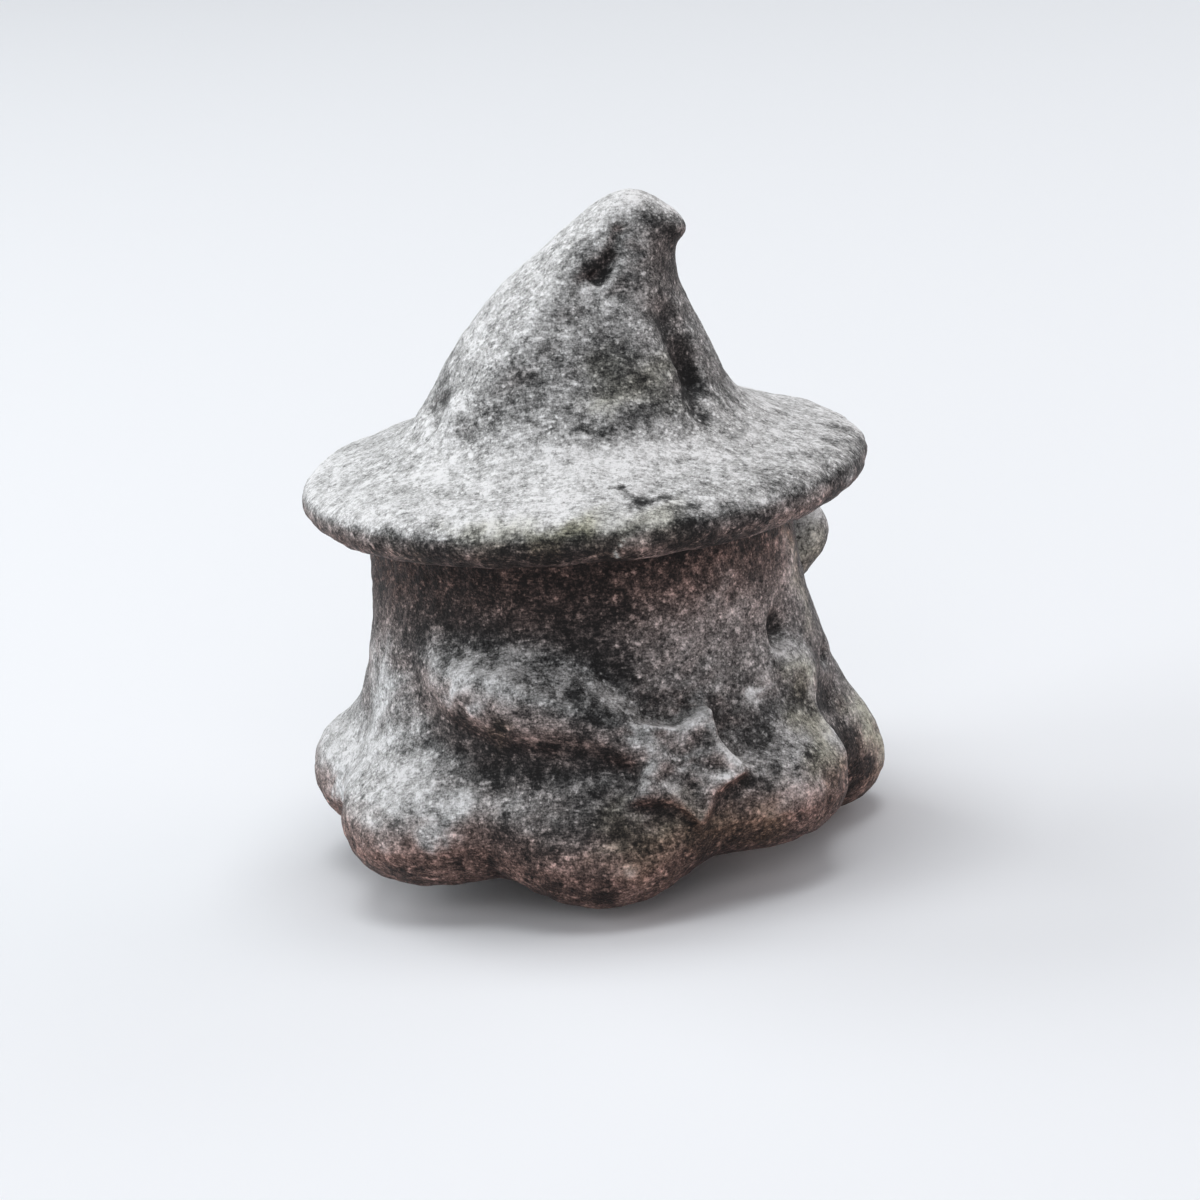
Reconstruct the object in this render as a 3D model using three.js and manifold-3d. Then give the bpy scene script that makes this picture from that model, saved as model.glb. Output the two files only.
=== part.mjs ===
// A small ghost in a bent, wide-brimmed hat, carved from one pebble of serpentine.
// Millimetres, +Z up. It stands on its underside with the robe's axis at the origin and looks along -Y.
// A heading is an angle about the axis in degrees: 0 is straight ahead of the ghost, and it grows
// toward the ghost's left hand, so the right hand is at negative headings.

import * as THREE from 'three';
import { mergeVertices } from 'three/addons/utils/BufferGeometryUtils.js';
import Module from 'manifold-3d';

// Robe: its outline over the crest of a fold, as [radius, height] from the foot to the top.
const footRadius = 6;
const robeOutline = [
  [footRadius, 0],
  [9, 0.35],
  [11, 0.25],
  [12.6, 0],
  [14.3, 0.35],
  [15.6, 1.35],
  [16.3, 3],
  [15.9, 4.8],
  [14.9, 6.6],
  [13.8, 8.8],
  [13, 11],
  [12.4, 13.5],
  [12, 16.5],
  [11.8, 19],
];
const flankStart = 6;
const robeTop = 22;
const robeSteps = 20;
const robeSides = 84;

// Folds: how far each crest stands out beyond the outline and how high its hem hangs, then how deep
// the valley after each one is. They go round with the headings, starting at firstFold.
const foldSpacing = 360 / 7;
const firstFold = -82;
const crestReach = [0, 0, 0, 0, 0.2, 0.7, 0.8];
const crestLift = [0.5, 2, 0, 0.2, 0.1, 2, 1.5];
const valleyDepth = [1.1, 2.6, 1.8, 1.8, 1.8, 1.3, 1.2];
const valleyLift = 2.1;
const foldRoundness = 1.2;
const foldFade = { full: 5.5, none: 11.5 };
const liftFade = { full: 4, none: 10 };
const hemInset = 9.5;

// Hat: brim outline as [radius, height], then the bent cone drawn by its back and front edges as
// [forward, height]. Every ring of the cone spans the two edges at its own height.
const hatForward = 0.5;
const hatTilt = 0.45;
const hatFloor = 20.6;
const brimOutline = [
  [11.5, 20.5],
  [14.2, 20.15],
  [15.5, 20.8],
  [15.95, 21.8],
  [15.4, 22.7],
  [13.9, 23.3],
  [11.6, 24.05],
  [9.9, 24.85],
];
const brimSteps = 13;
const coneFoot = 25.4;
const coneTip = [4.7, 37.6];
const coneBack = [
  [-8.7, coneFoot], [-7.2, 27.7], [-6, 29.5], [-4.9, 30.9], [-3.6, 32.2], [-1.8, 33.6], [0, 35], [1.2, 36],
  [2.4, 36.9], [3.6, 37.4], coneTip,
];
const coneFront = [
  [9.6, coneFoot], [8.8, 26.8], [8.3, 28.5], [7.6, 30.1], [6.9, 32], [6.75, 33.3], [6.8, 35.4], [6.5, 36.4],
  [5.8, 37.2], coneTip,
];
const coneSteps = 16;
const hatSides = 56;

// The cone is a little flat on the side where the wand is.
const coneFlat = { heading: -76, halfWidth: 48, depth: 0.55, fade: 3 };

// Tip of the hat: a small drooping hook.
const hook = { forward: 5.85, height: 35.9, long: 4.2, thick: 2.3, side: 3, droop: 35 };

// Arms, as stations of [heading, distance from the axis, height, radius].
const nearArm = [
  [-131, 9.7, 13.7, 2.5], [-115, 11, 13.2, 3.1], [-101, 11.6, 12.5, 3.2], [-89, 12.1, 11.6, 2.7],
  [-78, 12.9, 10.6, 1.8],
];
const wand = [[-83, 13.1, 10.6, 1.3], [-72, 13.7, 9.6, 1.1], [-62.5, 14.1, 8.3, 1]];
const farArm = [[46, 10.6, 12, 1.7], [44, 12.8, 13.3, 2], [42.8, 14.5, 15, 2.1]];
const armSteps = 7;
const armEndSteps = 3;
const armSides = 12;

// Star at the end of the wand: where it lies, how it is turned, and its tips, notches and thickness.
const star = {
  points: 5, heading: -62.4, out: 13.8, height: 8.2, tilt: 18, turn: -31,
  tip: 3.45, notch: 2.35, thick: 0.7, round: 0.65, roundSteps: 3,
};

// Hollows cut into the surface: two eyes and a mouth, then the creases of the hat. Each has its place,
// its size on the surface, its depth, and the lean of its top toward the ghost's left.
const eyeHeading = 24;
const robeHollows = [
  { heading: -eyeHeading, height: 13.5, across: 1.8, tall: 2.6, deep: 0.9, lean: 15 },
  { heading: eyeHeading, height: 13.5, across: 1.8, tall: 2.6, deep: 0.9, lean: -15 },
  { heading: 2, height: 10.3, across: 1.7, tall: 1.1, deep: 0.5, lean: 0 },
];
const hatHollows = [
  { heading: -28, height: 28.6, across: 1.3, tall: 5.2, deep: 0.9, lean: -16 },
  { heading: -84, height: 33.5, across: 2, tall: 0.9, deep: 0.5, lean: -30 },
  { heading: -158, height: 26.8, across: 1.3, tall: 1.8, deep: 0.5, lean: 0 },
];

const ballSides = 12;
const ballRings = 8;

const aheadAngle = -90;
const weldGap = 1e-5;
const stone = new THREE.MeshStandardMaterial({ color: 0x6a706c, roughness: 0.95, metalness: 0 });

const wasm = await Module();
wasm.setup();

// Goes smoothly from 0 at from to 1 at to.
function ramp(value, from, to) {
  const share = THREE.MathUtils.clamp((value - from) / (to - from), 0, 1);
  return share * share * (3 - 2 * share);
}

// Difference of two headings, between -180 and 180.
function headingGap(heading, other) {
  return THREE.MathUtils.euclideanModulo(heading - other + 180, 360) - 180;
}

function headingOf(point) {
  return headingGap(THREE.MathUtils.radToDeg(Math.atan2(point.y, point.x)), aheadAngle);
}

// Unit vector that points away from the axis at a heading.
function outward(heading) {
  const angle = THREE.MathUtils.degToRad(heading + aheadAngle);
  return new THREE.Vector3(Math.cos(angle), Math.sin(angle), 0);
}

// Reads an edge drawn as [distance, height] at any height.
function edgeAt(edge, height) {
  const above = edge.findIndex((point) => point[1] >= height);
  if (above === 0) return edge[0][0];
  if (above < 0) return edge[edge.length - 1][0];
  const [low, high] = [edge[above - 1], edge[above]];
  return THREE.MathUtils.mapLinear(height, low[1], high[1], low[0], high[0]);
}

// How the folds stand at a heading: 0 in a valley to 1 on a crest, and which crest and valley are nearest.
function foldAt(heading) {
  const place = THREE.MathUtils.euclideanModulo(heading - firstFold, 360) / foldSpacing;
  const crest = Math.round(place);
  const valley = Math.floor(place);
  const rise = Math.cos((place - crest) * Math.PI) ** foldRoundness;
  return { rise, crest: crest % crestReach.length, valley: valley % valleyDepth.length };
}

// How far the folds move the robe's surface away from its outline.
function foldShift(heading, height) {
  const fold = foldAt(heading);
  const shift = crestReach[fold.crest] * fold.rise - valleyDepth[fold.valley] * (1 - fold.rise);
  return shift * ramp(height, foldFade.none, foldFade.full);
}

// How high the hem hangs above the ground.
function hemLift(heading) {
  const fold = foldAt(heading);
  return crestLift[fold.crest] * fold.rise + valleyLift * (1 - fold.rise);
}

function robeRadius(heading, height) {
  return edgeAt(robeOutline.slice(flankStart), height) + foldShift(heading, height);
}

// Moves every vertex of a geometry by a function that changes the vector it is given.
function reshape(geometry, move) {
  const position = geometry.getAttribute('position');
  const point = new THREE.Vector3();
  for (let i = 0; i < position.count; i++) {
    point.fromBufferAttribute(position, i);
    move(point);
    position.setXYZ(i, point.x, point.y, point.z);
  }
  return geometry;
}

// Turns an outline of [radius, height] about the vertical axis.
function turned(points, sides) {
  const outline = points.map((point) => new THREE.Vector2(point[0], point[1]));
  return new THREE.LatheGeometry(outline, sides).rotateX(Math.PI / 2);
}

// Smooths a drawn outline into a curve of the given number of steps.
function curved(points, steps) {
  const curve = new THREE.SplineCurve(points.map((point) => new THREE.Vector2(point[0], point[1])));
  return curve.getSpacedPoints(steps).map((point) => [point.x, point.y]);
}

// Welds a closed geometry and gives it to the solid modeller.
function toSolid(geometry) {
  geometry.deleteAttribute('normal');
  geometry.deleteAttribute('uv');
  const welded = mergeVertices(geometry, weldGap);
  const corners = welded.getIndex().array;
  const triangles = [];
  for (let i = 0; i < corners.length; i += 3) {
    const [a, b, c] = [corners[i], corners[i + 1], corners[i + 2]];
    if (a !== b && b !== c && c !== a) triangles.push(a, b, c);
  }
  return new wasm.Manifold(new wasm.Mesh({
    numProp: 3,
    vertProperties: new Float32Array(welded.getAttribute('position').array),
    triVerts: new Uint32Array(triangles),
  }));
}

// Robe: a turned body with its folds pressed in and its hem hung in arches.
function makeRobe() {
  const topRadius = robeOutline.at(-1)[0];
  const outline = [[0, 0], ...curved(robeOutline, robeSteps), [topRadius, robeTop], [0, robeTop]];
  return toSolid(reshape(turned(outline, robeSides), (point) => {
    const radius = Math.hypot(point.x, point.y);
    if (radius < footRadius) return;
    const heading = headingOf(point);
    const hem = ramp(radius, footRadius, hemInset);
    point.addScaledVector(outward(heading), foldShift(heading, point.z) * hem);
    point.z += hemLift(heading) * hem * ramp(point.z, liftFade.none, liftFade.full);
  }));
}

// One ring of the cone, between its two edges.
function coneRing(height) {
  const back = edgeAt(coneBack, height);
  const front = edgeAt(coneFront, height);
  return { forward: (front + back) / 2, radius: (front - back) / 2 };
}

// How much the flat side takes off the cone.
function flattening(heading, height) {
  const side = ramp(Math.abs(headingGap(heading, coneFlat.heading)), coneFlat.halfWidth, 0);
  const aboveFoot = ramp(height, coneFoot, coneFoot + coneFlat.fade);
  const belowTip = ramp(height, coneTip[1], coneTip[1] - coneFlat.fade);
  return coneFlat.depth * side * aboveFoot * belowTip;
}

// Hat: the turned brim and cone, each ring moved to its place between the edges.
function makeHat() {
  const cone = [];
  for (let i = 0; i <= coneSteps; i++) {
    const height = THREE.MathUtils.lerp(coneFoot, coneTip[1], Math.sin(i / coneSteps * Math.PI / 2));
    cone.push([coneRing(height).radius, height]);
  }
  const outline = [[0, hatFloor], ...curved(brimOutline, brimSteps), ...cone];
  return toSolid(reshape(turned(outline, hatSides), (point) => {
    const heading = headingOf(point);
    const radius = Math.hypot(point.x, point.y);
    if (radius > 0) point.addScaledVector(outward(heading), -flattening(heading, point.z));
    const forward = point.z < coneFoot ? hatForward : coneRing(point.z).forward;
    point.z += point.y * Math.tan(THREE.MathUtils.degToRad(hatTilt));
    point.y -= forward;
  }));
}

// A stretched ball, given by its whole width, depth and height.
function makeBall(across, deep, tall) {
  return new THREE.SphereGeometry(0.5, ballSides, ballRings).scale(across, deep, tall);
}

function makeHook() {
  const ball = makeBall(hook.side, hook.long, hook.thick);
  ball.rotateX(THREE.MathUtils.degToRad(hook.droop));
  ball.translate(0, -hook.forward, hook.height);
  return toSolid(ball);
}

// Limb: a round-ended tube of changing radius along stations on the robe.
function makeLimb(stations) {
  const path = new THREE.CatmullRomCurve3(stations.map(([heading, out, height]) => {
    const point = outward(heading).multiplyScalar(out);
    point.z = height;
    return point;
  }));
  const radiusAt = (share) => {
    const place = share * (stations.length - 1);
    const low = Math.min(Math.floor(place), stations.length - 2);
    return THREE.MathUtils.lerp(stations[low][3], stations[low + 1][3], place - low);
  };
  const roundEnd = [];
  for (let i = 0; i <= armEndSteps; i++) {
    const angle = i / armEndSteps * Math.PI / 2;
    roundEnd.push([Math.cos(angle), Math.sin(angle)]);
  }
  const outline = roundEnd.map(([out, up]) => [out, -up]).reverse();
  for (let i = 1; i < armSteps; i++) outline.push([1, i / armSteps]);
  outline.push(...roundEnd.map(([out, up]) => [out, 1 + up]));
  return toSolid(reshape(turned(outline, armSides), (point) => {
    const share = THREE.MathUtils.clamp(point.z, 0, 1);
    const radius = radiusAt(share);
    const along = path.getTangent(share);
    const side = new THREE.Vector3(0, 0, 1).cross(along).normalize();
    const across = along.clone().cross(side);
    const middle = path.getPoint(share).addScaledVector(along, (point.z - share) * radius);
    const [x, y] = [point.x * radius, point.y * radius];
    point.copy(middle).addScaledVector(side, x).addScaledVector(across, y);
  }));
}

// Star: five rounded points, lying on the robe.
function makeStar() {
  const corners = [];
  for (let i = 0; i < 2 * star.points; i++) {
    const reach = (i % 2 === 0 ? star.tip : star.notch) - star.round;
    const angle = THREE.MathUtils.degToRad(star.turn) + Math.PI * (0.5 + i / star.points);
    corners.push(new THREE.Vector2(reach * Math.cos(angle), reach * Math.sin(angle)));
  }
  const body = new THREE.ExtrudeGeometry(new THREE.Shape(corners), {
    depth: star.thick, bevelThickness: star.round, bevelSize: star.round, bevelSegments: star.roundSteps,
  });
  body.rotateX(Math.PI / 2 - THREE.MathUtils.degToRad(star.tilt));
  body.rotateZ(THREE.MathUtils.degToRad(star.heading));
  const place = outward(star.heading).multiplyScalar(star.out);
  body.translate(place.x, place.y, star.height);
  return toSolid(body);
}

// Hollow: a stretched ball, set with its middle on the surface.
function makeHollow(hollow, middle) {
  const ball = makeBall(hollow.across, 2 * hollow.deep, hollow.tall);
  ball.rotateY(THREE.MathUtils.degToRad(hollow.lean));
  ball.rotateZ(THREE.MathUtils.degToRad(hollow.heading));
  ball.translate(middle.x, middle.y, hollow.height);
  return toSolid(ball);
}

let figure = makeRobe().add(makeHat()).add(makeHook());
for (const stations of [nearArm, wand, farArm]) figure = figure.add(makeLimb(stations));
figure = figure.add(makeStar());
for (const hollow of robeHollows) {
  const middle = outward(hollow.heading).multiplyScalar(robeRadius(hollow.heading, hollow.height));
  figure = figure.subtract(makeHollow(hollow, middle));
}
for (const hollow of hatHollows) {
  const ring = coneRing(hollow.height);
  const radius = ring.radius - flattening(hollow.heading, hollow.height);
  const middle = outward(hollow.heading).multiplyScalar(radius);
  middle.y -= ring.forward;
  figure = figure.subtract(makeHollow(hollow, middle));
}

const carved = figure.getMesh();
const geometry = new THREE.BufferGeometry();
geometry.setAttribute('position', new THREE.BufferAttribute(new Float32Array(carved.vertProperties), 3));
geometry.setIndex(new THREE.BufferAttribute(new Uint32Array(carved.triVerts), 1));
geometry.computeVertexNormals();

const ghost = new THREE.Mesh(geometry, stone);
ghost.name = 'ghost';
const group = new THREE.Group();
group.add(ghost);

export default group;
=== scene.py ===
import math

import bmesh
import bpy
import numpy as np
from mathutils import Matrix, Vector


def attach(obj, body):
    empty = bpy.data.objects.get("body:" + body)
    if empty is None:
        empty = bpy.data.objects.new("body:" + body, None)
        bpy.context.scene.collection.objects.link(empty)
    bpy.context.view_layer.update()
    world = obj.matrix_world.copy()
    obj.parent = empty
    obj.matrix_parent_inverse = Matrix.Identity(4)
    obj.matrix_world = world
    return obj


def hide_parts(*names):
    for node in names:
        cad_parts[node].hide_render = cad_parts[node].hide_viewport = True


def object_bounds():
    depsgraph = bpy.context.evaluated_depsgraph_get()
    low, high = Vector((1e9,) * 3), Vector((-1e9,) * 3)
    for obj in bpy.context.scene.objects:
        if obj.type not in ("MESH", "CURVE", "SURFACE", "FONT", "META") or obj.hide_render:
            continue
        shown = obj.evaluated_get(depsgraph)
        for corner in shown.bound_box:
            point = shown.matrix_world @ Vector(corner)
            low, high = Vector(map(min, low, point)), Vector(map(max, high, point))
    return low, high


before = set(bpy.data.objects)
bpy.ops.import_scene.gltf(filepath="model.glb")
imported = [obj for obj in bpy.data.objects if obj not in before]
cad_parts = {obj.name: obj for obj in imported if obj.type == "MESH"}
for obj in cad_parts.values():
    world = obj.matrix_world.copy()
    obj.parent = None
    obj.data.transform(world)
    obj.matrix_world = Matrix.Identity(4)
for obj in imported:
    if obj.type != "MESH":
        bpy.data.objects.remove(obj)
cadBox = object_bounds()
print("frame loaded, box in metres:", [[round(value, 5) for value in corner] for corner in cadBox])

millimetre = 0.001
aheadAngle = -90  # the ghost looks along -Y, which is heading 0; headings grow toward its left


# Unit vector away from the axis at a heading.
def outward(heading):
    angle = math.radians(heading + aheadAngle)
    return Vector((math.cos(angle), math.sin(angle), 0))


# A place given as heading, distance from the axis and height.
def placeAt(heading, out, height):
    return outward(heading) * out + Vector((0, 0, height))


# Goes smoothly from 0 at start to 1 at end, for numbers or arrays.
def ramp(value, start, end):
    share = np.clip((value - start) / (end - start), 0, 1)
    return share * share * (3 - 2 * share)


# The camera stands at the ghost's right, a little above it, tilted as the photograph is.
view = {
    "heading": -80,
    "elevation": 15.5,  # degrees above the object
    "roll": 5.85,  # how far the object seems to lean to the left
    "distance": 0.3,  # in metres, like the next two
    "sideways": 0.00065,  # the point looked at, to the right of the axis
    "height": 0.01427,  # and above the floor
    "lens": 161.0,  # in millimetres, like the sensor
    "sensor": 36.0,
    "nearest": 0.01,  # metres from the lens to where the picture starts
}


def makeCamera():
    toward = outward(view["heading"]) * math.cos(math.radians(view["elevation"]))
    toward.z = math.sin(math.radians(view["elevation"]))
    right = Vector((0, 0, 1)).cross(toward).normalized()
    up = toward.cross(right)
    target = right * view["sideways"] + Vector((0, 0, view["height"]))
    turn = Matrix.Rotation(math.radians(-view["roll"]), 4, "Z")
    axes = Matrix((right, up, toward)).transposed().to_4x4()
    data = bpy.data.cameras.new("photoCamera")
    data.lens = view["lens"]
    data.sensor_width = view["sensor"]
    data.clip_start = view["nearest"]
    camera = bpy.data.objects.new("photoCamera", data)
    camera.matrix_world = Matrix.Translation(target + toward * view["distance"]) @ axes @ turn
    bpy.context.scene.collection.objects.link(camera)
    bpy.context.scene.camera = camera
    return right


viewRight = makeCamera()
print("camera placed")


studio = {
    "floorColour": (0.845, 0.87, 0.905, 1),
    "floorRoughness": 0.9,
    "floorSize": 4.0,
    "skyColour": (0.9, 0.95, 1.0, 1),
    "skyStrength": 0.2,
    "lights": [  # name, place as right, toward the camera and up, power in watts, size, colour
        ("keyLight", (-0.36, -0.32, 0.32), 1.1, 0.35, (1, 1, 1)),
        ("leftLight", (-0.48, 0.06, 0.2), 0.7, 0.25, (1, 1, 1)),
        ("topLight", (0, 0, 0.5), 1.25, 0.35, (1, 1, 1)),
        ("sideLight", (0.35, -0.35, 0.25), 0.45, 0.35, (1, 1, 1)),
        ("lowLight", (0.5, 0, 0.12), 0.7, 0.35, (1, 0.84, 0.8)),
        ("frontLight", (0, 0.5, 0.25), 0.65, 0.35, (1, 0.94, 0.93)),
    ],
}


# A soft square light at a place given along the camera's right, toward it and up.
def makeLight(name, place, power, size, colour):
    side, near, up = place
    spot = viewRight * side + outward(view["heading"]) * near + Vector((0, 0, up))
    data = bpy.data.lights.new(name, "AREA")
    data.energy = power
    data.size = size
    data.color = colour
    light = bpy.data.objects.new(name, data)
    light.location = spot
    light.rotation_euler = (spot - Vector((0, 0, view["height"]))).to_track_quat("Z", "Y").to_euler()
    bpy.context.scene.collection.objects.link(light)


def makeStudio():
    for values in studio["lights"]:
        makeLight(*values)
    world = bpy.data.worlds.new("softSky")
    world.use_nodes = True
    sky = world.node_tree.nodes["Background"]
    sky.inputs["Color"].default_value = studio["skyColour"]
    sky.inputs["Strength"].default_value = studio["skyStrength"]
    bpy.context.scene.world = world
    mesh = bpy.data.meshes.new("paleFloor")
    half = studio["floorSize"] / 2
    corners = [(-half, -half, 0), (half, -half, 0), (half, half, 0), (-half, half, 0)]
    mesh.from_pydata(corners, [], [(0, 1, 2, 3)])
    floor = bpy.data.objects.new("paleFloor", mesh)
    surface = bpy.data.materials.new("paleFloor")
    surface.use_nodes = True
    shader = surface.node_tree.nodes["Principled BSDF"]
    shader.inputs["Base Color"].default_value = studio["floorColour"]
    shader.inputs["Roughness"].default_value = studio["floorRoughness"]
    mesh.materials.append(surface)
    bpy.context.scene.collection.objects.link(floor)
    bpy.context.scene.view_settings.view_transform = "Standard"


makeStudio()
print("studio lit")


# The ghost's mesh while it is carved: everything here is in millimetres.
carving = {
    "welding": 0.001,  # corners closer than this are one
    "voxel": 0.27,  # size of the remeshed faces
    "softening": 14,  # rounds of smoothing
    "fine": [  # where the mesh is made finer, and so kept crisper: heading, out, height, reach
        (-62.4, 14.5, 8.5, 4.6),
        (-42, 4.8, 34, 2.2),
    ],
    "fades": [  # where it is smoothed further: a line of places, its reach and the rounds
        ([(-125, 12.4, 14.8), (-105, 12.8, 15.5), (-90, 13.2, 14.3), (-74, 13.9, 11.6)], 2.0, 26),
        ([(-127, 13, 11.8), (-106, 13.2, 9.9), (-80, 13.9, 8.9)], 1.8, 30),
    ],
    "fadeCore": 0.3,  # the share of a fade's reach in which it is full
}


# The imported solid, welded and remeshed to small even faces, in millimetres.
def remeshed(node):
    mesh = node.data.copy()
    mesh.materials.clear()
    mesh.transform(Matrix.Scale(1 / millimetre, 4))
    shape = bmesh.new()
    shape.from_mesh(mesh)
    bmesh.ops.remove_doubles(shape, verts=shape.verts, dist=carving["welding"])
    shape.to_mesh(mesh)
    shape.free()
    piece = bpy.data.objects.new("ghostCarving", mesh)
    bpy.context.scene.collection.objects.link(piece)
    modifier = piece.modifiers.new("remesh", "REMESH")
    modifier.mode = "VOXEL"
    modifier.voxel_size = carving["voxel"]
    return settled(piece)


# Turns a piece's modifiers into plain mesh.
def settled(piece):
    graph = bpy.context.evaluated_depsgraph_get()
    mesh = bpy.data.meshes.new_from_object(piece.evaluated_get(graph))
    piece.modifiers.clear()
    old = piece.data
    piece.data = mesh
    bpy.data.meshes.remove(old)
    return piece


def placesOf(mesh):
    places = np.empty(len(mesh.vertices) * 3)
    mesh.vertices.foreach_get("co", places)
    return places.reshape(-1, 3)


def normalsOf(mesh):
    normals = np.empty(len(mesh.vertices) * 3)
    mesh.vertices.foreach_get("normal", normals)
    return normals.reshape(-1, 3)


def setPlaces(mesh, places):
    mesh.vertices.foreach_set("co", places.ravel())
    mesh.update()


# Brings every vertex's values halfway to the average of its neighbours', a number of times, or less
# far where the weight is less than 1.
def averaged(mesh, values, rounds, weight=1.0):
    edges = np.empty(len(mesh.edges) * 2, int)
    mesh.edges.foreach_get("vertices", edges)
    first, second = edges.reshape(-1, 2).T
    count = np.bincount(edges, minlength=len(values))
    values = values.copy()
    for step in range(rounds):
        for axis in range(values.shape[1]):
            column = values[:, axis]
            total = np.bincount(first, column[second], len(column))
            total += np.bincount(second, column[first], len(column))
            values[:, axis] = column + (total / count - column) / 2 * weight
    return values


# Cuts the faces smaller round the fine spots.
def refine(mesh):
    shape = bmesh.new()
    shape.from_mesh(mesh)
    for *spot, reach in carving["fine"]:
        middle = placeAt(*spot)
        near = [edge for edge in shape.edges if (edge.verts[0].co - middle).length < reach]
        bmesh.ops.subdivide_edges(shape, edges=near, cuts=1, use_grid_fill=True)
    shape.to_mesh(mesh)
    shape.free()


# Distance of every place to a line of places, which may be a single one.
def distanceToLine(places, line):
    nearest = np.full(len(places), np.inf)
    points = [np.array(placeAt(*point)) for point in line]
    for start, end in zip(points, points[1:] or points):
        along = end - start
        share = np.clip((places - start) @ along / (along @ along or 1), 0, 1)
        nearest = np.minimum(nearest, np.linalg.norm(places - start - share[:, None] * along, axis=1))
    return nearest


def soften(mesh):
    setPlaces(mesh, averaged(mesh, placesOf(mesh), carving["softening"]))
    for line, reach, rounds in carving["fades"]:
        places = placesOf(mesh)
        weight = 1 - ramp(distanceToLine(places, line), carving["fadeCore"] * reach, reach)
        setPlaces(mesh, averaged(mesh, places, rounds, weight))


ghost = remeshed(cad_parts["ghost"])
refine(ghost.data)
print("remeshed:", len(ghost.data.polygons), "faces")
soften(ghost.data)
print("softened")


# The star: its plate is lifted out of the soft shape with crisp edges and a dished face. Aside and
# above are measured in its plane from its place, and heights out of that plane.
star = {
    "place": (-62.4, 13.8, 8.2),
    "tilt": 18,  # degrees that its face looks up
    "turn": 54,  # of the first point, from the horizontal
    "points": 5,
    "tip": 3.65,  # how far its points reach from its middle
    "notch": 2.25,  # and the notches between them
    "face": 1.3,  # height of its face
    "edge": 0.3,  # width of the slope round it
    "dish": 0.35,  # how deep its face is dished
    "dishReach": (0.4, 1.6),  # how far inside the outline the dish starts and is full
    "depth": (-2.5, -1.5),  # stone below these heights is left alone
    "fading": (-3.6, -1.2),  # aside: its left side runs into the arm
    "ground": 0.1,  # height that what lies round its upper points is pressed down to
    "groundReach": (0.9, 1.4),  # how far outside the outline
    "groundAbove": (0.5, 1.5),  # where that starts and is full
    "groundAside": (-1.5, -0.5),
    "blend": (0.5, 1.0),  # how far from the outline it is smoothed after that
    "blendRounds": 3,
}


# How far inside the star's outline each point of its plane is, below 0 outside.
def insideStar(aside, above):
    step = math.pi / star["points"]
    angle = np.arctan2(above, aside) - math.radians(star["turn"])
    angle = np.abs((angle + step) % (2 * step) - step)
    away = np.hypot(aside, above)
    notch = np.array((star["notch"] * math.cos(step), star["notch"] * math.sin(step)))
    side = notch - np.array((star["tip"], 0))
    side /= np.linalg.norm(side)
    return (away * np.cos(angle) - star["tip"]) * -side[1] + away * np.sin(angle) * side[0]


# Where every place lies over the star: how far inside its outline, its height, how far aside and
# above, and the way that the star faces.
def overStar(places):
    heading = star["place"][0]
    tilt = math.radians(star["tilt"])
    across = np.array(outward(heading + 90))
    facing = np.array(outward(heading)) * math.cos(tilt) + np.array((0, 0, math.sin(tilt)))
    local = places - np.array(placeAt(*star["place"]))
    aside = local @ across
    above = local @ np.cross(facing, across)
    return insideStar(aside, above), local @ facing, aside, above, facing


def liftStar(mesh):
    places = placesOf(mesh)
    inside, height, aside, above, facing = overStar(places)
    face = star["face"] - star["dish"] * ramp(inside, *star["dishReach"])
    near = ramp(height, *star["depth"]) * ramp(aside, *star["fading"])
    lift = ramp(inside, 0, star["edge"]) * near * (face - height)
    around = ramp(-inside, 0, star["edge"]) * (1 - ramp(-inside, *star["groundReach"]))
    around *= ramp(above, *star["groundAbove"]) * ramp(aside, *star["groundAside"])
    lift -= around * np.maximum(height - star["ground"], 0)
    places += facing * lift[:, None]
    weight = 1 - ramp(np.abs(inside), *star["blend"])
    weight[height < star["depth"][1]] = 0
    setPlaces(mesh, averaged(mesh, places, star["blendRounds"], weight))


liftStar(ghost.data)
print("star lifted")


# Strokes pressed into the stone or raised from it: a line of places, how wide it is to each side and
# its depth; a negative depth raises.
strokes = {
    "arm top": {
        "line": [(-117, 12.9, 15.6), (-100, 13.4, 15.2), (-86, 13.9, 13.5)],
        "wide": 1.8,
        "deep": 0.3,
    },
    "hat crease": {
        "line": [(-31.9, 4.9, 35.7), (-40, 4.9, 34.4), (-44, 4.8, 33.9)],
        "wide": 0.45,
        "deep": 0.2,
    },
    "hat dent": {
        "line": [(-41, 4.9, 34.2), (-50, 4.7, 33.3)],
        "wide": 0.7,
        "deep": 0.22,
    },
    "hat ridge": {
        "line": [(-52, 4.2, 35), (-105, 6.2, 30), (-134, 8.6, 25.6)],
        "wide": 2.0,
        "deep": -0.2,
    },
    "hat flute": {
        "line": [(-25, 7.2, 30.8), (-22, 7.9, 28.6), (-29, 9.2, 26)],
        "wide": 1.5,
        "deep": 0.35,
    },
    "front valley": {
        "line": [(-12, 14.5, 8.5), (-14, 15.8, 5.5), (-12, 15.8, 3)],
        "wide": 2.6,
        "deep": 0.9,
    },
    "front fold": {
        "line": [(-18, 13, 10.6), (-15, 13.7, 8.6), (-17, 14.9, 6.6)],
        "wide": 2.6,
        "deep": -0.42,
    },
    "mouth": {
        "line": [(-0.4, 12.8, 10.3), (4.4, 12.8, 10.3)],
        "wide": 0.85,
        "deep": 0.2,
    },
    "hat fold": {
        "line": [(-146, 7.9, 27.4), (-144, 8.4, 26.2)],
        "wide": 0.8,
        "deep": 0.22,
    },
    "fold edge": {
        "line": [(-132, 7.9, 27.2), (-128, 8.8, 25.4)],
        "wide": 0.9,
        "deep": -0.2,
    },
}


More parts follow.
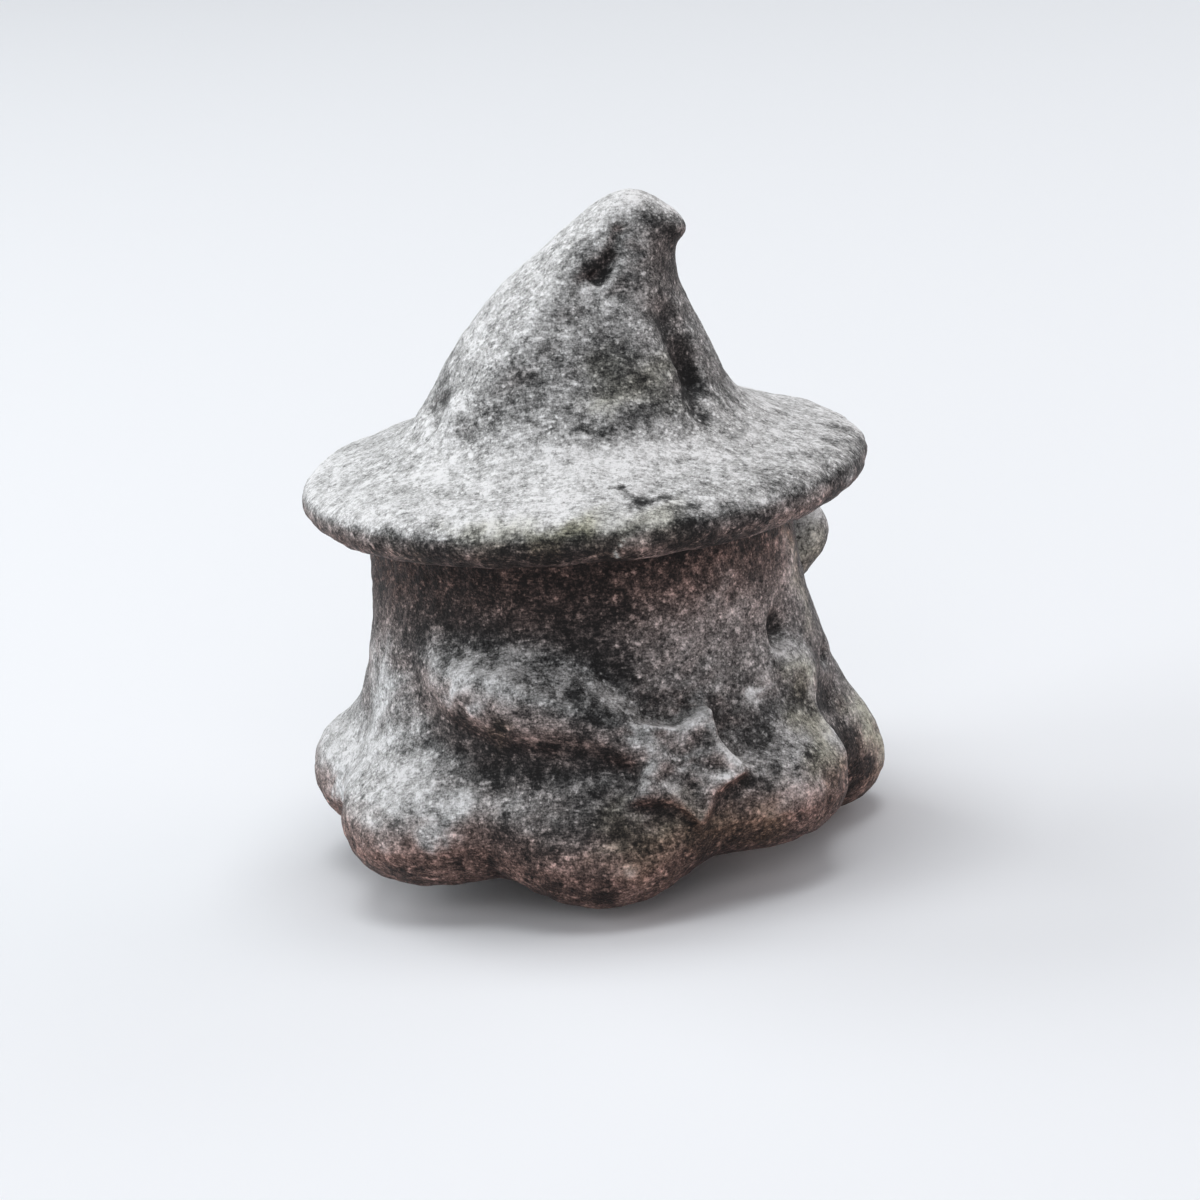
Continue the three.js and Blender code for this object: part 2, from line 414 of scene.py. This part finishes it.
def carve(mesh):
    places = placesOf(mesh)
    normals = normalsOf(mesh)
    for stroke in strokes.values():
        depth = stroke["deep"] * (1 - ramp(distanceToLine(places, stroke["line"]), 0, stroke["wide"]))
        places -= normals * depth[:, None]
    setPlaces(mesh, places)


carve(ghost.data)
print("creases carved")


# What tumbling and wear leave all over the stone. A noise value above Level raises the surface and
# one below it presses it in. The mean of the noise is lower, so most goes inward, within the solid.
wear = {
    "Lump Scale": 0.28,
    "Lump Height": 0.22,
    "Grain Scale": 1.1,
    "Grain Height": 0.09,
    "Detail": 2.0,
    "Level": 0.62,
    "Pit Density": 0.5,
    "Pit Radius": 0.32,
    "Pit Depth": 0.11,
    "Smallest Pit": 0.35,  # as a share of the largest
    "Seed": 4,
}


def addNode(tree, kind, **values):
    node = tree.nodes.new(kind)
    for name, value in values.items():
        setattr(node, name, value)
    return node


# Sets a node's inputs by name or number: a socket is linked, anything else becomes the value.
def feed(tree, node, inputs):
    for name, value in inputs.items():
        if isinstance(value, bpy.types.NodeSocket):
            tree.links.new(value, node.inputs[name])
        else:
            node.inputs[name].default_value = value
    return node


def maths(tree, operation, first, second):
    node = addNode(tree, "ShaderNodeMath", operation=operation)
    return feed(tree, node, {0: first, 1: second}).outputs[0]


def scaled(tree, vector, length):
    node = addNode(tree, "ShaderNodeVectorMath", operation="SCALE")
    return feed(tree, node, {0: vector, "Scale": length}).outputs[0]


# Goes smoothly from one value at a distance of start to another at end.
def eased(tree, value, start, end, atStart, atEnd):
    node = addNode(tree, "ShaderNodeMapRange", interpolation_type="SMOOTHSTEP")
    span = {"Value": value, "From Min": start, "From Max": end, "To Min": atStart, "To Max": atEnd}
    return feed(tree, node, span).outputs[0]


# Geometry nodes: unevenness along the normals, then scattered pits, each a small round dimple.
def makeWearTree():
    tree = bpy.data.node_groups.new("stoneWear", "GeometryNodeTree")
    tree.interface.new_socket("Geometry", in_out="INPUT", socket_type="NodeSocketGeometry")
    for name, value in wear.items():
        kind = "NodeSocketInt" if isinstance(value, int) else "NodeSocketFloat"
        tree.interface.new_socket(name, in_out="INPUT", socket_type=kind)
    tree.interface.new_socket("Stone", in_out="INPUT", socket_type="NodeSocketMaterial")
    tree.interface.new_socket("Geometry", in_out="OUTPUT", socket_type="NodeSocketGeometry")
    given = addNode(tree, "NodeGroupInput").outputs
    normal = addNode(tree, "GeometryNodeInputNormal").outputs[0]
    height = 0.0
    for part in ("Lump", "Grain"):
        noise = addNode(tree, "ShaderNodeTexNoise")
        feed(tree, noise, {"Scale": given[part + " Scale"], "Detail": given["Detail"]})
        swing = maths(tree, "SUBTRACT", noise.outputs[0], given["Level"])
        swing = maths(tree, "ADD", swing, swing)
        height = maths(tree, "ADD", height, maths(tree, "MULTIPLY", swing, given[part + " Height"]))
    uneven = addNode(tree, "GeometryNodeSetPosition")
    feed(tree, uneven, {"Geometry": given["Geometry"], "Offset": scaled(tree, normal, height)})
    scatter = addNode(tree, "GeometryNodeDistributePointsOnFaces")
    feed(tree, scatter, {"Mesh": uneven.outputs[0], "Density": given["Pit Density"], "Seed": given["Seed"]})
    lot = addNode(tree, "FunctionNodeRandomValue", data_type="FLOAT")
    lowest, highest = 2, 3  # the numbers of this node's float sockets; 1 is that of its float result
    feed(tree, lot, {lowest: given["Smallest Pit"], highest: 1.0, "Seed": given["Seed"]})
    nearest = addNode(tree, "GeometryNodeProximity", target_element="POINTS")
    feed(tree, nearest, {"Geometry": scatter.outputs[0]})
    index = addNode(tree, "GeometryNodeSampleNearest")
    feed(tree, index, {"Geometry": scatter.outputs[0]})
    sample = addNode(tree, "GeometryNodeSampleIndex", data_type="FLOAT")
    chosen = {"Geometry": scatter.outputs[0], "Value": lot.outputs[1], "Index": index.outputs[0]}
    size = feed(tree, sample, chosen).outputs[0]
    radius = maths(tree, "MULTIPLY", size, given["Pit Radius"])
    dimple = eased(tree, nearest.outputs["Distance"], 0.0, radius, 1.0, 0.0)
    depth = maths(tree, "MULTIPLY", maths(tree, "MULTIPLY", dimple, size), given["Pit Depth"])
    inward = maths(tree, "SUBTRACT", 0.0, depth)
    pitted = addNode(tree, "GeometryNodeSetPosition")
    feed(tree, pitted, {"Geometry": uneven.outputs[0], "Offset": scaled(tree, normal, inward)})
    realize = addNode(tree, "GeometryNodeRealizeInstances")
    feed(tree, realize, {0: pitted.outputs[0]})
    finish = addNode(tree, "GeometryNodeSetMaterial")
    feed(tree, finish, {"Geometry": realize.outputs[0], "Material": given["Stone"]})
    feed(tree, addNode(tree, "NodeGroupOutput"), {"Geometry": finish.outputs[0]})
    return tree


def weather(piece, material):
    tree = makeWearTree()
    modifier = piece.modifiers.new("wear", "NODES")
    modifier.node_group = tree
    values = dict(wear, Stone=material)
    for item in tree.interface.items_tree:
        if item.in_out == "INPUT" and item.name in values:
            modifier[item.identifier] = values[item.name]
    settled(piece)


stone = bpy.data.materials.new("serpentine")
weather(ghost, stone)
print("worn and pitted")


# Broad marks on this pebble by the part they lie on, each a line of places (heading, out, height),
# a reach and a strength. The pale marks make the stone paler: partly pale stone, partly painted light
# on sides that face the light and painted highlights. The dark marks make it darker: some are dark
# spots of the stone, most are painted shade and painted shadow. The olive marks tint it.
marks = {
    "bloomAndLight": {
        "hat": [
            # the first two: partly pale stone, partly painted light on the hat's left side, which faces the
            # light
            ([(-138, 5.1, 30.9), (-133, 7.2, 28), (-128, 9.5, 25)], 3.0, 0.15),
            ([(-150, 8.4, 26.3), (-136, 8.4, 26.4)], 2.0, 0.26),
            ([(-84, 5.8, 30.8)], 1.6, 0.12),
            ([(-103, 7.9, 27.2), (-93, 8.1, 27)], 0.6, 0.3),
        ],
        "brim": [
            # the first two: partly a pale bloom, partly painted light from above on the brim's top
            ([(-101.5, 11, 24.3), (-84, 9.8, 25), (-58.8, 10, 24.9)], 2.2, 0.15),
            ([(-90, 12.9, 23.6), (-44, 10.8, 24.5)], 2.5, 0.1),
            ([(-12, 16.3, 21.3)], 2.0, 0.3),
            ([(-110.4, 15.1, 22.8)], 0.4, 0.5),
            ([(-72.3, 16, 21.5)], 0.45, 0.6),
            ([(-55.5, 16.1, 21.2)], 0.45, 0.5),
            ([(-40.3, 16.2, 21.5)], 0.4, 0.4),
        ],
        "robe": [
            # the first two: partly pale stone, partly painted light on the robe's left side, which faces
            # the light
            ([(-150, 13, 11.5), (-160, 15, 7)], 6.0, 0.3),
            ([(-148, 12.9, 12.5), (-150, 13, 10.5)], 3.5, 0.15),
            ([(-132, 13, 12), (-128, 13.4, 10.8)], 1.8, 0.2),
            ([(-42, 12, 17), (-61, 12.4, 13.2)], 3.0, 0.13),
            ([(-40, 12, 18), (-36, 12.5, 12)], 4.0, 0.1),
            ([(-34.5, 13, 11.1), (-38.5, 13.2, 10.4)], 0.8, 0.6),
            ([(-24, 13, 12), (-20, 12, 16)], 3.0, 0.12),
            ([(-8, 11.9, 17), (-5, 12.4, 13)], 2.5, 0.24),
        ],
        "arms": [
            # the first two: partly pale stone, partly a painted highlight on the near arm's left end
            ([(-124, 13.3, 13.2), (-109, 14.3, 12.3)], 1.3, 0.2),
            ([(-112, 14.2, 13.2), (-103, 14.4, 13.2)], 1.5, 0.2),
            ([(35, 14.2, 15.8), (35, 14.6, 14)], 2.4, 0.16),
        ],
        "star": [
            # partly the star's own paler face, partly painted highlights along its right side and upper
            # edge
            ([(-61, 15.1, 8.8)], 1.8, 0.24),
            ([(-55.7, 14.7, 9.9), (-53.2, 15.4, 8.2)], 1.2, 0.16),
            ([(-69.5, 14.2, 10.9)], 0.8, 0.15),
            ([(-72, 14.4, 10.3), (-66, 14.7, 10.2), (-58.5, 14.6, 10.2)], 1.4, 0.28),
        ],
        "hem": [
            # partly pale stone, partly painted light on the lobes that face up and to the left
            ([(-155, 16, 6), (-152, 16, 4)], 2.5, 0.26),
            ([(-161, 15.2, 5.6)], 2.2, 0.34),
            ([(-128, 15, 8), (-114, 15.5, 6.2)], 2.6, 0.22),
            ([(-114, 15.6, 5.7), (-124, 16.5, 5.4), (-134, 17, 5.4)], 1.8, 0.16),
            ([(-101.4, 14.5, 7.1)], 1.0, 0.15),
            ([(-75.3, 16.1, 3.7)], 1.2, 0.2),
            ([(-47, 15.6, 4.6), (-35, 16, 5.1)], 1.6, 0.14),
            ([(-20, 13, 10.8), (-16.5, 14, 7.8)], 1.3, 0.3),
            ([(10.5, 15, 6), (12, 15.7, 3.5)], 3.0, 0.26),
        ],
    },
    "dark": {
        "hat": [
            # hat: mostly painted shade, under the hook, in the crease, the dent, the flute and the fold, on
            # the cone's front and round its base
            ([(-9, 7, 35.2), (-15, 6.1, 36.3)], 1.8, 0.36),
            ([(-32.5, 4.9, 35.6), (-41, 4.9, 34.3)], 0.4, 0.35),
            ([(-41, 4.9, 34.2), (-54, 4.4, 33.3)], 0.7, 0.35),
            ([(-58, 3.8, 34.9), (-41.5, 4.9, 34.2)], 1.4, 0.2),
            ([(-23.5, 7.5, 29.5), (-20.5, 7.8, 28.4)], 1.1, 0.55),
            ([(-24, 7.2, 30.3), (-29, 9.2, 26)], 2.0, 0.2),
            ([(-29, 9, 26.3), (-22, 8.6, 26.6)], 0.9, 0.38),
            ([(-70, 6.8, 29.5), (-45, 7.7, 28.6)], 2.6, 0.13),
            ([(-40.7, 7.1, 30), (-77, 7.8, 27.4)], 1.2, 0.12),
            ([(-78.4, 8.6, 26.3)], 0.8, 0.2),
            ([(-108, 7.8, 27.3), (-84, 8.4, 26.4), (-62, 8.8, 26), (-43, 8.7, 26.4)], 1.2, 0.3),
            ([(-146, 7.9, 27.4), (-144, 8.4, 26.2)], 0.8, 0.15),
        ],
        "brim": [
            ([(-70, 13.2, 23.7), (-62, 14, 23.3)], 0.85, 0.6),
            ([(-56.2, 14.7, 23)], 0.6, 0.5),
            ([(-35.9, 15.7, 22.6)], 1.2, 0.3),
            ([(-96, 15.7, 21.8)], 0.6, 0.25),
            ([(-38.7, 16.2, 21.9)], 0.6, 0.25),
            # the last three, along the brim's rim and underside: painted shade
            ([(-126, 15.3, 22), (-104, 15.7, 21.9), (-80, 15.9, 21.9), (-56, 15.7, 22.3)], 1.4, 0.25),
            ([(-56, 15.7, 22.4), (-34.5, 15.3, 22.8), (-17.6, 16.1, 22.2), (5, 15.5, 22.5)], 2.3, 0.32),
            ([(-115, 15.4, 20.9), (-84, 15.7, 21), (-56, 15.9, 21), (-20, 15.8, 21.3)], 1.0, 0.25),
        ],
        "robe": [
            # the first three: painted shade under the brim
            ([(-126, 11.9, 17.6), (-109, 11.9, 18), (-84, 11.9, 18.4)], 4.0, 0.2),
            ([(-83.6, 11.8, 19.6), (-83.6, 11.8, 18.4)], 0.5, 0.4),
            ([(-78, 11.9, 17.3), (-79, 13, 13.2)], 2.6, 0.14),
            ([(-26, 13, 12)], 1.2, 0.2),
        ],
        "arms": [
            # arms: mostly painted shade along the crease above the near arm and under it, painted shadow on
            # the robe below it, and painted shade where the far hand meets the body
            ([(-117, 12.9, 15.6), (-102, 13.4, 15.2), (-90, 13.6, 14.2), (-80, 14.2, 12.2)], 1.4, 0.38),
            ([(-117, 12.8, 14.4)], 1.6, 0.15),
            ([(-110, 13.9, 14.6)], 0.9, 0.2),
            ([(-95, 14.3, 13.2), (-73.6, 14.1, 11)], 1.7, 0.3),
            ([(-76, 14.3, 11.5)], 1.0, 0.2),
            ([(-115, 13.6, 11.8), (-106, 13.8, 11), (-95, 14, 10.5), (-77, 14.4, 9.8)], 0.9, 0.2),
            ([(-105, 13.3, 9.6), (-90, 14.2, 7.9), (-78, 15.3, 6.3)], 2.4, 0.17),
            ([(-97, 13.5, 9.6), (-88, 13.6, 9.2)], 1.2, 0.15),
            ([(35, 13.4, 14.4)], 0.7, 0.35),
        ],
        "star": [
            # painted shade round the star's upper points, painted shadow at its right side and below it
            ([(-65, 13.6, 10.8), (-57, 13.6, 10.9)], 0.8, 0.2),
            ([(-50, 14.9, 6.8), (-45, 15, 7)], 1.5, 0.34),
        ],
        "hem": [
            # hem: mostly painted shade in the valleys between the folds, under the arm and the star, and
            # near the ground
            ([(-126, 15.2, 7.6), (-114, 14.8, 7.8)], 1.3, 0.2),
            ([(-125, 15.6, 6.5), (-112, 15.6, 6)], 1.6, 0.12),
            ([(-100, 15.2, 5.6), (-85, 15.6, 6.2)], 2.0, 0.2),
            ([(-94.6, 15.8, 4.5)], 1.5, 0.2),
            ([(-91.5, 15.9, 4.5)], 1.0, 0.18),
            ([(-92, 15.2, 2.6)], 1.5, 0.25),
            ([(-84, 15.1, 1.5)], 1.2, 0.4),
            ([(-84, 14.2, 8.2)], 1.6, 0.34),
            ([(-82, 15.4, 6)], 1.6, 0.22),
            ([(-41, 14.3, 8.4), (-37, 14.8, 7.8), (-31, 15.2, 7.4)], 1.9, 0.32),
            ([(-6, 13.8, 6.6), (-1, 14.2, 5), (2, 14.6, 3)], 1.9, 0.5),
        ],
    },
    "olive": {
        "hat": [
            ([(-60, 7.6, 28.2), (-42, 8, 28)], 2.6, 0.45),
        ],
        "brim": [
            ([(-104, 15.6, 22.3), (-84, 15.9, 22), (-62, 15.9, 22.3)], 2.2, 0.4),
            ([(-90, 15.8, 22.3), (-80, 15.8, 22.1)], 1.4, 0.4),
            ([(-117, 15.2, 21)], 1.6, 0.4),
        ],
        "robe": [
            ([(-4, 11.9, 18), (-3, 12.4, 13)], 2.2, 0.5),
        ],
        "arms": [
            ([(-104, 14, 11)], 1.5, 0.6),
            ([(37, 14.5, 14)], 3.5, 0.6),
        ],
        "hem": [
            ([(-78, 15.6, 5.2), (-62, 15.6, 4.7), (-48, 15.4, 4.5)], 2.8, 0.65),
            ([(-22, 13.1, 10.5), (-30, 15.5, 6)], 2.5, 0.6),
            ([(11, 15, 6), (12, 15.7, 3.5)], 3.5, 0.7),
        ],
    },
}

# Waves that bend the edges of the marks.
waves = {
    "sizes": [(0.5, 3.1), (0.22, 1.2)],  # how far each pushes, and its length
    "slant": 0.7,  # how far they cross from one axis to the next
}


# Places pushed about by waves, so that marks laid over them have uneven edges.
def bent(places):
    for far, length in waves["sizes"]:
        turned = np.roll(places, 1, axis=1) + waves["slant"] * np.roll(places, 2, axis=1)
        places = places + far * np.sin(turned * 2 * math.pi / length)
    return places


# How the stone is toned before its marks, partly its own tone and wear, partly painted light and shade:
# strengths along the way from dark to pale. How far it looks up or down is its normal's Z. What stands
# proud lies above the broad form round it.
toning = {
    "base": 0.31,
    # upward: partly a pale bloom on the stone, partly painted light from above
    "upward": 0.47,  # added where the stone looks up
    "upwardRange": (0.15, 0.9),
    # downward: painted shade on what looks down
    "downward": 0.12,  # taken away where it looks down
    "downwardRange": (0, 0.5),
    # edges: paler on what stands proud, as worn edges are, and darker in hollows as painted shade
    "edges": 0.25,  # added on what stands proud, taken away in hollows
    "edgeLimits": (-0.6, 0.8),
    # hollows: painted shade, darker once more in hollows
    "hollows": 0.2,  # taken away once more in hollows
    "proudHeight": 0.3,  # standing proud by this counts in full
    "broadRounds": 40,  # of averaging, for the broad form
    "proudRounds": 2,
    "facingRounds": 4,
    # a painted highlight round the star's edge
    "starRimHighlight": 0.08,  # added round the star's edge
    "rimInside": 0.2,  # where that is strongest
    "rimReach": 0.5,
    "rimHeights": (0.2, 1),
    # painted shade under the brim, darker there
    "brimShade": 0.1,  # taken away under the brim
    "brimShadeHeights": (14, 19, 22.2, 22.8),  # where that starts, is full, ends to be full and ends
    "brimShadeReach": (12.8, 14.2),  # and how far from the axis
    "limits": (0.1, 0.86),  # the darkest and the palest tone
}

# Painted warm reflected light: a warm tint on hollows and on stone near the ground. Strengths that add up,
# and the ranges of how far the stone looks down, of its height and of how pale it is.
warmReflection = {
    "walls": 0.4,  # on all that doesn't look up
    "wallRange": (-0.5, 0),
    "undersides": 0.4,
    "undersideRange": (0, 0.5),
    "brimShade": 0.6,
    "low": 0.45,
    "lowHeights": (4, 10),
    "paleRange": (0.4, 0.8),  # over which it fades away
    "farShare": 0.5,  # what is left of it on the far side
    "farRange": (-8, 6),  # from there to the near side, as measured from the axis toward the camera
}


# How far every place stands proud of the broad form: above 0 on edges, below 0 in hollows.
def proudOf(mesh, places, normals):
    broad = averaged(mesh, places, toning["broadRounds"])
    proud = ((places - broad) * normals).sum(axis=1)
    return averaged(mesh, proud[:, None], toning["proudRounds"])[:, 0] / toning["proudHeight"]


# How deep every place lies in the painted shade under the brim.
def brimShadeOf(places):
    height = places[:, 2]
    bottom, full, top, clear = toning["brimShadeHeights"]
    brimShade = ramp(height, bottom, full) * (1 - ramp(height, top, clear))
    return brimShade * (1 - ramp(np.hypot(places[:, 0], places[:, 1]), *toning["brimShadeReach"]))


# Where the painted highlight round the star's edge lies, strongest a little inside the outline.
def starRimHighlightOf(places):
    inside, height, aside, above, facing = overStar(places)
    rim = 1 - ramp(np.abs(inside - toning["rimInside"]), 0, toning["rimReach"])
    return rim * ramp(height, *toning["rimHeights"]) * ramp(aside, *star["fading"])


# Paints the attributes that the stone's material reads: its tone, which holds painted light and shade
# as well as the stone's own, its olive tint, and its warm tint, which is painted reflected light.
def paint(mesh):
    places = placesOf(mesh)
    normals = normalsOf(mesh)
    proud = proudOf(mesh, places, normals)
    up = averaged(mesh, normals, toning["facingRounds"])[:, 2]
    brimShade = brimShadeOf(places)
    # The tone before the marks: pale where it looks up, partly bloom and partly painted light from above;
    # painted shade where it looks down and in hollows; paler worn edges; a painted highlight round the
    # star.
    bloomAndLight = toning["base"] + toning["upward"] * ramp(up, *toning["upwardRange"])
    bloomAndLight -= toning["downward"] * ramp(-up, *toning["downwardRange"])
    bloomAndLight += toning["edges"] * np.clip(proud, *toning["edgeLimits"])
    bloomAndLight += toning["starRimHighlight"] * starRimHighlightOf(places)
    # dark: painted shade in hollows and under the brim
    dark = toning["hollows"] * np.clip(-proud, 0, 1) + toning["brimShade"] * brimShade
    values = {"bloomAndLight": bloomAndLight, "dark": dark, "olive": np.zeros(len(places))}
    uneven = bent(places)
    for name, parts in marks.items():
        for line, reach, strength in sum(parts.values(), []):
            values[name] += strength * (1 - ramp(distanceToLine(uneven, line), 0, reach))
    # The warm tint: painted warm reflected light on walls, undersides, stone under the brim and stone near
    # the ground, less on the far side.
    warm = warmReflection["walls"] * ramp(-up, *warmReflection["wallRange"]) + warmReflection["brimShade"] * brimShade
    warm += warmReflection["low"] * (1 - ramp(places[:, 2], *warmReflection["lowHeights"]))
    warm += warmReflection["undersides"] * ramp(-up, *warmReflection["undersideRange"])
    seen = ramp(places @ np.array(outward(view["heading"])), *warmReflection["farRange"])
    warm *= warmReflection["farShare"] + (1 - warmReflection["farShare"]) * seen
    warm *= 1 - ramp(values["bloomAndLight"], *warmReflection["paleRange"])
    painted = {
        "tone": np.clip(values["bloomAndLight"] - values["dark"], *toning["limits"]),
        "olive": values["olive"],
        "warm": np.clip(warm, 0, 1),
    }
    for name, strengths in painted.items():
        attribute = mesh.attributes.new(name, "FLOAT", "POINT")
        attribute.data.foreach_set("value", strengths.astype(np.float32))


paint(ghost.data)
print("marks painted")


# A shader node group with a Vector input, some float inputs and the result Swing.
def startGroup(name, inputs):
    group = bpy.data.node_groups.new(name, "ShaderNodeTree")
    group.interface.new_socket("Vector", in_out="INPUT", socket_type="NodeSocketVector")
    for title in inputs:
        group.interface.new_socket(title, in_out="INPUT", socket_type="NodeSocketFloat")
    group.interface.new_socket("Swing", in_out="OUTPUT", socket_type="NodeSocketFloat")
    return group, addNode(group, "NodeGroupInput").outputs


noiseMean = 0.5  # what the value of a noise swings about


# Grain: one size of mottling, swinging about 0 by its strength. The stone is a sum of several.
def makeGrainGroup():
    group, given = startGroup("grain", ("Scale", "Detail", "Strength"))
    noise = addNode(group, "ShaderNodeTexNoise")
    feed(group, noise, {"Vector": given["Vector"], "Scale": given["Scale"], "Detail": given["Detail"]})
    swing = maths(group, "SUBTRACT", noise.outputs[0], noiseMean)
    swing = maths(group, "MULTIPLY", swing, given["Strength"])
    feed(group, addNode(group, "NodeGroupOutput"), {"Swing": swing})
    return group


# The form that all flecks share, measured in the mean distance between them.
fleck = {
    "uneven": 1.2,  # how far noise bends them
    "detail": 3.0,
    "smallest": 0.3,  # added to a lot between 0 and 1, and their sum scales the size
    "core": 0.3,  # the share of a fleck that is full, before it fades to its edge
}


# Flecks: separate rounded spots of many sizes, each at a chance place.
def makeFleckGroup():
    group, given = startGroup("flecks", ("Scale", "Share", "Size", "Strength"))
    noise = addNode(group, "ShaderNodeTexNoise")
    feed(group, noise, {"Vector": given["Vector"], "Scale": given["Scale"], "Detail": fleck["detail"]})
    push = scaled(group, noise.outputs["Color"], maths(group, "DIVIDE", fleck["uneven"], given["Scale"]))
    pushed = addNode(group, "ShaderNodeVectorMath", operation="ADD")
    feed(group, pushed, {0: given["Vector"], 1: push})
    spots = addNode(group, "ShaderNodeTexVoronoi")
    feed(group, spots, {"Vector": pushed.outputs[0], "Scale": given["Scale"]})
    lots = addNode(group, "ShaderNodeSeparateColor")
    feed(group, lots, {0: spots.outputs["Color"]})
    chosen = maths(group, "LESS_THAN", lots.outputs[0], given["Share"])
    size = maths(group, "ADD", lots.outputs[1], fleck["smallest"])
    size = maths(group, "MULTIPLY", given["Size"], size)
    core = maths(group, "MULTIPLY", size, fleck["core"])
    strength = maths(group, "MULTIPLY", chosen, given["Strength"])
    swing = eased(group, spots.outputs["Distance"], core, size, strength, 0.0)
    feed(group, addNode(group, "NodeGroupOutput"), {"Swing": swing})
    return group


serpentine = {
    "grains": [  # scale in grains per metre, detail, strength
        (10500, 2, 0.8),
        (4500, 3, 0.7),
        (2000, 4, 0.75),
        (800, 4, 0.6),
        (250, 3, 0.4),
    ],
    "streaks": [  # the same for drawn-out grains
        (9000, 3, 0.7),
        (3500, 3, 0.4),
    ],
    "flecks": [  # scale, share of the places that have one, size, strength: pale ones, then dark ones
        (4500, 0.45, 0.5, 0.28),
        (2000, 0.4, 0.45, 0.3),
        (1100, 0.2, 0.35, 0.25),
        (2600, 0.4, 0.5, -0.2),
        (900, 0.3, 0.45, -0.15),
    ],
    "dashes": [  # the same for drawn-out flecks
        (2600, 0.3, 0.45, 0.25),
    ],
    "drawn": (1, 0.28, 1),  # how the drawn-out ones are scaled along X, Y and Z
    "leaning": (14, 0, 8),  # and how far they are turned, in degrees
    "tones": [  # place on the way from dark to pale, colour
        (0.0, (0.008, 0.0085, 0.009, 1)),
        (0.2, (0.038, 0.039, 0.04, 1)),
        (0.4, (0.13, 0.132, 0.131, 1)),
        (0.6, (0.33, 0.333, 0.332, 1)),
        (0.8, (0.6, 0.605, 0.61, 1)),
        (1.0, (0.86, 0.868, 0.88, 1)),
    ],
    "olive": (0.64, 0.63, 0.43, 1),
    # the colour of the painted warm reflected light
    "warm": (1, 0.61, 0.52, 1),
    "contrast": (0.82, 0.05),  # of the mottling in dark stone, and how much of it pale stone loses
    "roughness": 0.6,
    "specular": 0.2,
    "toothScale": 6000.0,  # the fine tooth of the surface
    "toothDetail": 4.0,
    "toothStrength": 0.8,
    "toothHeight": 0.00012,
}


# Multiplies a colour by a tint, as far as the share says. The node's colours are its inputs 6 and 7
# and its output 2.
def tinted(tree, share, colour, tint):
    node = addNode(tree, "ShaderNodeMix", data_type="RGBA", blend_type="MULTIPLY")
    return feed(tree, node, {0: share, 6: colour, 7: tint}).outputs[2]


# The sum of all grains, streaks, flecks and dashes.
def addMottling(tree, where):
    leaning = [math.radians(angle) for angle in serpentine["leaning"]]
    mapping = addNode(tree, "ShaderNodeMapping")
    feed(tree, mapping, {"Vector": where, "Rotation": leaning, "Scale": serpentine["drawn"]})
    drawn = mapping.outputs[0]
    grains, flecks = makeGrainGroup(), makeFleckGroup()
    layers = {
        "grains": (grains, where),
        "streaks": (grains, drawn),
        "flecks": (flecks, where),
        "dashes": (flecks, drawn),
    }
    mottling = 0.0
    for kind, (group, vector) in layers.items():
        for values in serpentine[kind]:
            node = addNode(tree, "ShaderNodeGroup", node_tree=group)
            feed(tree, node, dict(enumerate((vector, *values))))
            mottling = maths(tree, "ADD", mottling, node.outputs[0])
    return mottling


def addTones(tree, tone):
    tones = addNode(tree, "ShaderNodeValToRGB")
    stops = tones.color_ramp.elements
    while len(stops) < len(serpentine["tones"]):
        stops.new(0)
    for stop, (place, colour) in zip(stops, serpentine["tones"]):
        stop.position = place
        stop.color = colour
    return feed(tree, tones, {0: tone}).outputs[0]


def dressStone(material):
    material.use_nodes = True
    tree = material.node_tree
    shader = tree.nodes["Principled BSDF"]
    where = addNode(tree, "ShaderNodeTexCoord").outputs["Object"]
    mottling = addMottling(tree, where)
    painted = {}
    for name in ("tone", "olive", "warm"):
        painted[name] = addNode(tree, "ShaderNodeAttribute", attribute_name=name).outputs["Fac"]
    full, loss = serpentine["contrast"]
    contrast = maths(tree, "SUBTRACT", full, maths(tree, "MULTIPLY", painted["tone"], loss))
    tone = maths(tree, "ADD", painted["tone"], maths(tree, "MULTIPLY", mottling, contrast))
    colour = tinted(tree, painted["olive"], addTones(tree, tone), serpentine["olive"])
    # painted warm reflected light
    colour = tinted(tree, painted["warm"], colour, serpentine["warm"])
    tree.links.new(colour, shader.inputs["Base Color"])
    shader.inputs["Roughness"].default_value = serpentine["roughness"]
    shader.inputs["Specular IOR Level"].default_value = serpentine["specular"]
    tooth = addNode(tree, "ShaderNodeTexNoise")
    scale, detail = serpentine["toothScale"], serpentine["toothDetail"]
    feed(tree, tooth, {"Vector": where, "Scale": scale, "Detail": detail})
    bump = addNode(tree, "ShaderNodeBump")
    strength, height = serpentine["toothStrength"], serpentine["toothHeight"]
    feed(tree, bump, {"Strength": strength, "Distance": height, "Height": tooth.outputs[0]})
    tree.links.new(bump.outputs[0], shader.inputs["Normal"])


dressStone(stone)
print("stone dressed")


# Keeps the piece within the solid's box, turns it to metres and has it shown in the solid's place.
def finishPiece(piece):
    mesh = piece.data
    low, high = (np.array(corner) / millimetre for corner in cadBox)
    setPlaces(mesh, np.clip(placesOf(mesh), low, high))
    mesh.transform(Matrix.Scale(millimetre, 4))
    mesh.polygons.foreach_set("use_smooth", [True] * len(mesh.polygons))
    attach(piece, "root")
    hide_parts("ghost")


finishPiece(ghost)
